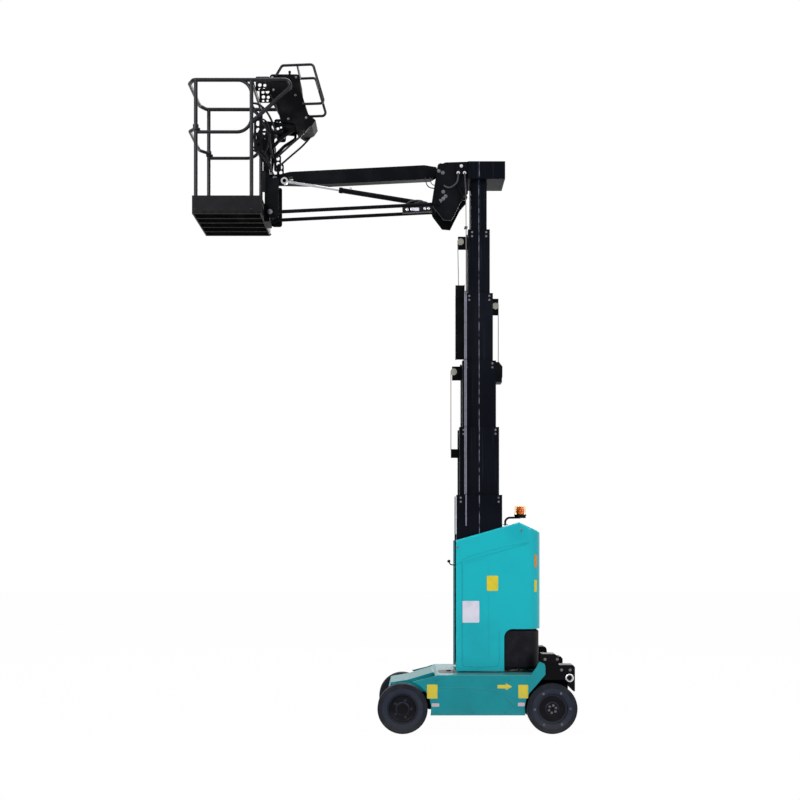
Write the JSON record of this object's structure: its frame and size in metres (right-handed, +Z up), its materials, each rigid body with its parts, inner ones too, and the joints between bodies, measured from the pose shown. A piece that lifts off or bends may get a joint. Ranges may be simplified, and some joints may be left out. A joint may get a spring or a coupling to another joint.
{
  "type": "vertical mast lift",
  "caption": "Self-propelled vertical mast lift: wheeled chassis, slewing hood, nested telescoping mast, parallelogram jib and guarded work platform.",
  "frame": {"origin": "on the ground under the middle of the parked machine's bounding box", "axes": "+X to the rear of the machine, away from the platform; +Y to its right side; +Z up along the mast"},
  "size_m": [3.214, 1, 5.594],
  "materials": {
    "teal_panel": "glossy moulded panel",
    "teal_metal": "glossy paint",
    "black_metal": "satin black paint",
    "mast_black": "satin black paint",
    "cast_black": "painted casting",
    "battery": "matte",
    "tyre_grey": "non-marking rubber",
    "rim_blue": "dark blue-grey paint",
    "bearing_steel": "machined",
    "chrome_rod": "chromed",
    "nylon": "cream nylon",
    "lens_amber": "clear amber lens",
    "black_plastic": "matte moulding"
  },
  "bodies": {
    "chassis": {"chassis_frame": "black_metal", "tie_down_lugs": "black_metal", "deck_cover": "teal_metal", "nose_cover": "teal_metal", "front_axle": "black_metal", "rear_axle": "black_metal", "rear_box_left": "black_plastic", "rear_box_right": "black_plastic", "slew_ring": "bearing_steel"},
    "knuckle_left": {"knuckle_left": "black_metal"},
    "knuckle_right": {"knuckle_right": "black_metal"},
    "wheel_front_left": {"tyre_front_left": "tyre_grey", "rim_front_left": "rim_blue"},
    "wheel_front_right": {"tyre_front_right": "tyre_grey", "rim_front_right": "rim_blue"},
    "wheel_rear_left": {"tyre_rear_left": "tyre_grey", "rim_rear_left": "rim_blue"},
    "wheel_rear_right": {"tyre_rear_right": "tyre_grey", "rim_rear_right": "rim_blue"},
    "turntable": {"turntable_plate": "black_metal", "counterweight": "cast_black", "battery_block": "battery", "hood_left": "teal_panel", "hood_right": "teal_panel", "beacon_stalk": "black_plastic", "beacon_lens": "lens_amber", "mast_stage_1": "mast_black"},
    "mast_2": {"mast_stage_2": "mast_black", "stage_2_anchor": "black_metal"},
    "mast_3": {"mast_stage_3": "mast_black", "stage_3_front_bracket": "black_metal", "stage_3_rear_bracket": "black_metal", "stage_3_sheave": "nylon"},
    "mast_4": {"mast_stage_4": "mast_black", "stage_4_trough": "black_metal", "stage_4_rear_bracket": "black_metal", "stage_4_sheave": "nylon"},
    "mast_5": {"mast_stage_5": "mast_black", "stage_5_front_bracket": "black_metal", "stage_5_sheave": "nylon"},
    "mast_6": {"mast_stage_6": "mast_black", "mast_head": "mast_black", "head_cheeks": "black_metal"},
    "jib": {"jib_beam": "black_metal"},
    "jib_links": {"jib_link_left": "black_metal", "jib_link_right": "black_metal", "valve_block": "cast_black"},
    "cylinder_barrel": {"jib_cylinder_barrel": "black_metal"},
    "cylinder_rod": {"jib_cylinder_rod": "chrome_rod"},
    "platform": {"platform_carrier": "black_metal", "platform_floor": "black_metal", "toe_board": "black_metal", "guard_rails": "black_metal", "rail_brackets": "black_metal", "console_box": "black_plastic", "console_guard": "black_metal"},
    "entry_bar": {"entry_bar": "black_metal"}
  },
  "joints": [
    {"name": "steer_left", "type": "hinge", "parent": "chassis", "child": "knuckle_left", "pos_m": [0.182, -0.345, 0.205], "axis": [0, 0, 1], "range_deg": [-30, 30]},
    {"name": "steer_right", "type": "hinge", "parent": "chassis", "child": "knuckle_right", "pos_m": [0.182, 0.345, 0.205], "axis": [0, 0, 1], "range_deg": [-30.5, 30.5]},
    {"name": "front_left_wheel_spin", "type": "hinge", "parent": "knuckle_left", "child": "wheel_front_left", "pos_m": [0.182, -0.4375, 0.205], "axis": [0, 1, 0], "continuous": true},
    {"name": "rear_left_wheel_spin", "type": "hinge", "parent": "chassis", "child": "wheel_rear_left", "pos_m": [1.402, -0.4375, 0.205], "axis": [0, 1, 0], "continuous": true},
    {"name": "front_right_wheel_spin", "type": "hinge", "parent": "knuckle_right", "child": "wheel_front_right", "pos_m": [0.182, 0.4375, 0.205], "axis": [0, 1, 0], "continuous": true},
    {"name": "rear_right_wheel_spin", "type": "hinge", "parent": "chassis", "child": "wheel_rear_right", "pos_m": [1.402, 0.4375, 0.205], "axis": [0, 1, 0], "continuous": true},
    {"name": "turntable_slew", "type": "hinge", "parent": "chassis", "child": "turntable", "pos_m": [0.947, 0, 0.48], "axis": [0, 0, 1], "range_deg": [-172.5, 172.5]},
    {"name": "mast_lift", "type": "slide", "parent": "turntable", "child": "mast_2", "axis": [0, 0, 1], "range_m": [-0.527, 0.55]},
    {"name": "mast_3_slide", "type": "slide", "parent": "mast_2", "child": "mast_3", "axis": [0, 0, 1], "range_m": [-0.532, 0.552]},
    {"name": "mast_4_slide", "type": "slide", "parent": "mast_3", "child": "mast_4", "axis": [0, 0, 1], "range_m": [-0.532, 0.552]},
    {"name": "mast_5_slide", "type": "slide", "parent": "mast_4", "child": "mast_5", "axis": [0, 0, 1], "range_m": [-0.532, 0.552]},
    {"name": "mast_6_slide", "type": "slide", "parent": "mast_5", "child": "mast_6", "axis": [0, 0, 1], "range_m": [-0.2655, 0.2755]},
    {"name": "jib_lift", "type": "hinge", "parent": "mast_6", "child": "jib", "pos_m": [0.503, 0, 4.72], "axis": [0, 1, 0], "range_deg": [-42, 72]},
    {"name": "jib_link_swing", "type": "hinge", "parent": "mast_6", "child": "jib_links", "pos_m": [0.473, 0, 4.415], "axis": [0, 1, 0], "range_deg": [-42.2, 72.2]},
    {"name": "platform_level", "type": "hinge", "parent": "jib", "child": "platform", "pos_m": [-0.90426, 0, 4.64994], "axis": [0, 1, 0], "range_deg": [-72.2, 42.2]},
    {"name": "cylinder_swing", "type": "hinge", "parent": "mast_6", "child": "cylinder_barrel", "pos_m": [0.473, -0.072, 4.415], "axis": [0, 1, 0], "range_deg": [-39.6, 67.8]},
    {"name": "cylinder_stroke", "type": "slide", "parent": "cylinder_barrel", "child": "cylinder_rod", "axis": [-0.9871, 0, 0.1601], "range_m": [-0.192, 0.328]},
    {"name": "entry_bar_lift", "type": "slide", "parent": "platform", "child": "entry_bar", "axis": [0, 0, 1], "range_m": [0, 0.345]}
  ],
  "couplings": [
    {"joint": "steer_right", "follows": "steer_left", "ratio": 1},
    {"joint": "mast_3_slide", "follows": "mast_lift", "ratio": 1},
    {"joint": "mast_4_slide", "follows": "mast_lift", "ratio": 1},
    {"joint": "mast_5_slide", "follows": "mast_lift", "ratio": 1},
    {"joint": "mast_6_slide", "follows": "mast_lift", "ratio": 0.5},
    {"joint": "jib_link_swing", "follows": "jib_lift", "ratio": 1},
    {"joint": "platform_level", "follows": "jib_lift", "ratio": -1},
    {"joint": "cylinder_swing", "follows": "jib_lift", "ratio": 0.94},
    {"joint": "cylinder_stroke", "follows": "jib_lift", "m_per_rad": 0.26}
  ]
}
